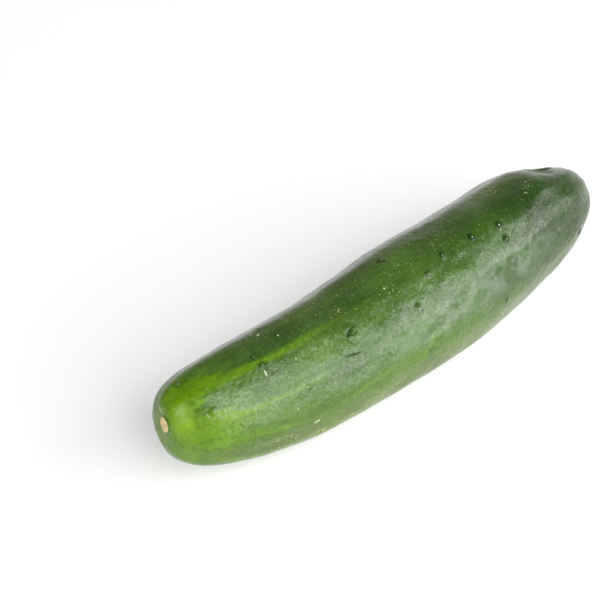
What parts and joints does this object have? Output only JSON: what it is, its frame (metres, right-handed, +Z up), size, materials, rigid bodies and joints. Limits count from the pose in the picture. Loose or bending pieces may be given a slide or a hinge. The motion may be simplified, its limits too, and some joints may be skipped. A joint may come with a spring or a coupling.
{
  "type": "cucumber",
  "caption": "Whole slicing cucumber lying on its side: dark green warty skin, a gentle bow, a corky blossom scar and a stem pit.",
  "frame": {"origin": "bottom centre of the cucumber's box, on the surface that it lies on", "axes": "+X from the blossom end to the stem end, +Z up, and the fruit bows toward -Y"},
  "size_m": [0.214, 0.0532, 0.0492],
  "materials": {
    "skin": "waxy semi-gloss dark green skin, yellow-green at the blossom end with pale stripes",
    "cork": "dry tan cork on the blossom scar, the stem pit and the tips of the warts"
  },
  "bodies": {
    "root": {"cucumber": "skin"}
  },
  "joints": []
}
